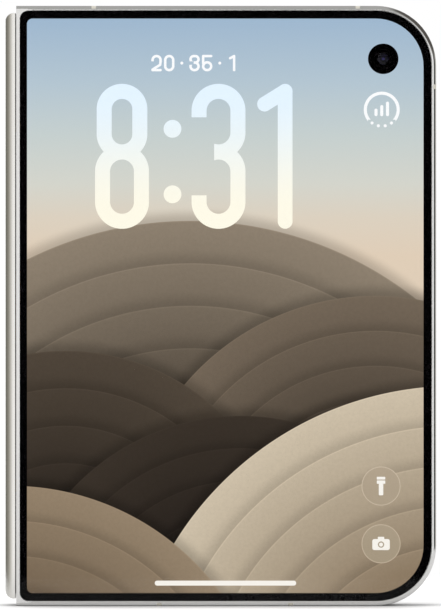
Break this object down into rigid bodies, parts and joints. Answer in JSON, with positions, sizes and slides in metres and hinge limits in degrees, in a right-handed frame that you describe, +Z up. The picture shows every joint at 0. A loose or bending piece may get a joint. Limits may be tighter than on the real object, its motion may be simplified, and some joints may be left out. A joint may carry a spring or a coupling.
{
  "type": "foldable smartphone",
  "caption": "Book-style foldable smartphone, shut, with a cover screen, rear cameras, side buttons and a geared hinge that opens it flat.",
  "frame": {"origin": "middle of the bottom edge, on the plane where the two halves meet, with the phone shut and standing upright", "axes": "+X from the fold to the free edge, +Y from the cover screen to the rear cameras, +Z up the phone"},
  "size_m": [0.0865, 0.0125, 0.12],
  "materials": {
    "frame_metal": "polished",
    "plate_metal": "satin",
    "back_glass": "frosted",
    "cover_glass": "polished",
    "screen": "lit",
    "folding_screen": "polished",
    "lens_glass": "polished",
    "camera_black": "matte",
    "flash_lens": "polished",
    "battery_wrap": "satin",
    "board_green": "satin",
    "shield_steel": "satin",
    "coil_copper": "satin",
    "magnet": "satin",
    "black_rim": "matte",
    "bumper_rubber": "matte",
    "hinge_steel": "satin",
    "gear_steel": "satin",
    "screw_steel": "satin",
    "antenna_plastic": "satin",
    "flex_polyimide": "satin"
  },
  "bodies": {
    "rear_half": {"rear_frame": "frame_metal", "rear_mid_plate": "plate_metal", "rear_glass": "back_glass", "camera_plateau": "frame_metal", "camera_rings": "frame_metal", "camera_lenses": "lens_glass", "camera_modules": "camera_black", "flash": "flash_lens", "rear_battery": "battery_wrap", "main_board": "board_green", "board_shields": "shield_steel", "charging_coil": "coil_copper", "charging_port": "shield_steel", "port_tongue": "camera_black", "loudspeaker": "camera_black", "haptic_motor": "shield_steel", "button_switches": "shield_steel", "magnets_rear": "magnet", "screen_rim_rear": "black_rim", "rim_bumpers": "bumper_rubber", "inner_screen_rear": "folding_screen", "rotors_rear": "hinge_steel", "sync_guides_rear": "hinge_steel", "hinge_screws_rear": "screw_steel", "bottom_screws": "screw_steel", "antenna_bands_rear": "antenna_plastic"},
    "hinge_spine": {"spine_cover": "frame_metal", "hinge_bracket_upper": "hinge_steel", "hinge_bracket_lower": "hinge_steel", "gear_pins": "gear_steel", "inner_screen_fold": "folding_screen", "hinge_flex": "flex_polyimide"},
    "front_half": {"front_frame": "frame_metal", "front_mid_plate": "plate_metal", "cover_glass": "cover_glass", "cover_screen": "screen", "cover_camera": "camera_black", "front_battery": "battery_wrap", "front_board": "board_green", "earpiece": "camera_black", "magnets_front": "magnet", "screen_rim_front": "black_rim", "inner_screen_front": "folding_screen", "inner_camera": "camera_black", "rotors_front": "hinge_steel", "sync_guides_front": "hinge_steel", "hinge_screws_front": "screw_steel", "antenna_bands_front": "antenna_plastic"},
    "rear_wing": {"wing_plate_rear": "hinge_steel"},
    "front_wing": {"wing_plate_front": "hinge_steel"},
    "rear_sync": {"sync_arms_rear": "gear_steel"},
    "front_sync": {"sync_arms_front": "gear_steel"},
    "rear_idler": {"idler_gears_rear": "gear_steel"},
    "front_idler": {"idler_gears_front": "gear_steel"},
    "power_button": {"power_button": "frame_metal"},
    "volume_up_button": {"volume_up_button": "frame_metal"},
    "volume_down_button": {"volume_down_button": "frame_metal"}
  },
  "joints": [
    {"name": "spine_fold", "type": "hinge", "parent": "rear_half", "child": "hinge_spine", "pos_m": [-0.03998, 0.00097, 0.06], "axis": [0, 0, -1], "range_deg": [0, 90], "deforming": ["inner_screen_fold", "hinge_flex"]},
    {"name": "front_fold", "type": "hinge", "parent": "hinge_spine", "child": "front_half", "pos_m": [-0.03998, -0.00097, 0.06], "axis": [0, 0, -1], "range_deg": [0, 90], "deforming": ["inner_screen_fold", "hinge_flex"]},
    {"name": "rear_wing_tilt", "type": "hinge", "parent": "rear_half", "child": "rear_wing", "pos_m": [-0.03393, 0.00109, 0.06], "axis": [0, 0, 1], "range_deg": [0, 8]},
    {"name": "front_wing_tilt", "type": "hinge", "parent": "front_half", "child": "front_wing", "pos_m": [-0.03393, -0.00109, 0.06], "axis": [0, 0, -1], "range_deg": [0, 8]},
    {"name": "rear_sync_turn", "type": "hinge", "parent": "hinge_spine", "child": "rear_sync", "pos_m": [-0.04118, 0.00217, 0.06], "axis": [0, 0, 1], "range_deg": [0, 90]},
    {"name": "front_sync_turn", "type": "hinge", "parent": "hinge_spine", "child": "front_sync", "pos_m": [-0.04118, -0.00217, 0.06], "axis": [0, 0, -1], "range_deg": [0, 90]},
    {"name": "rear_idler_turn", "type": "hinge", "parent": "hinge_spine", "child": "rear_idler", "pos_m": [-0.04148, 0.00073, 0.06], "axis": [0, 0, -1], "range_deg": [0, 90]},
    {"name": "front_idler_turn", "type": "hinge", "parent": "hinge_spine", "child": "front_idler", "pos_m": [-0.04148, -0.00073, 0.06], "axis": [0, 0, 1], "range_deg": [0, 90]},
    {"name": "power_button_press", "type": "slide", "parent": "rear_half", "child": "power_button", "axis": [-1, 0, 0], "range_m": [0, 0.00025], "stiffness_N_per_m": 800},
    {"name": "volume_up_button_press", "type": "slide", "parent": "rear_half", "child": "volume_up_button", "axis": [-1, 0, 0], "range_m": [0, 0.00025], "stiffness_N_per_m": 800},
    {"name": "volume_down_button_press", "type": "slide", "parent": "rear_half", "child": "volume_down_button", "axis": [-1, 0, 0], "range_m": [0, 0.00025], "stiffness_N_per_m": 800}
  ],
  "couplings": [
    {"joint": "front_fold", "follows": "spine_fold", "ratio": 1},
    {"joint": "rear_wing_tilt", "follows": "spine_fold", "ratio": 0.0888},
    {"joint": "front_wing_tilt", "follows": "spine_fold", "ratio": 0.0888},
    {"joint": "rear_sync_turn", "follows": "spine_fold", "ratio": 1},
    {"joint": "front_sync_turn", "follows": "spine_fold", "ratio": 1},
    {"joint": "rear_idler_turn", "follows": "spine_fold", "ratio": 1},
    {"joint": "front_idler_turn", "follows": "spine_fold", "ratio": 1}
  ]
}
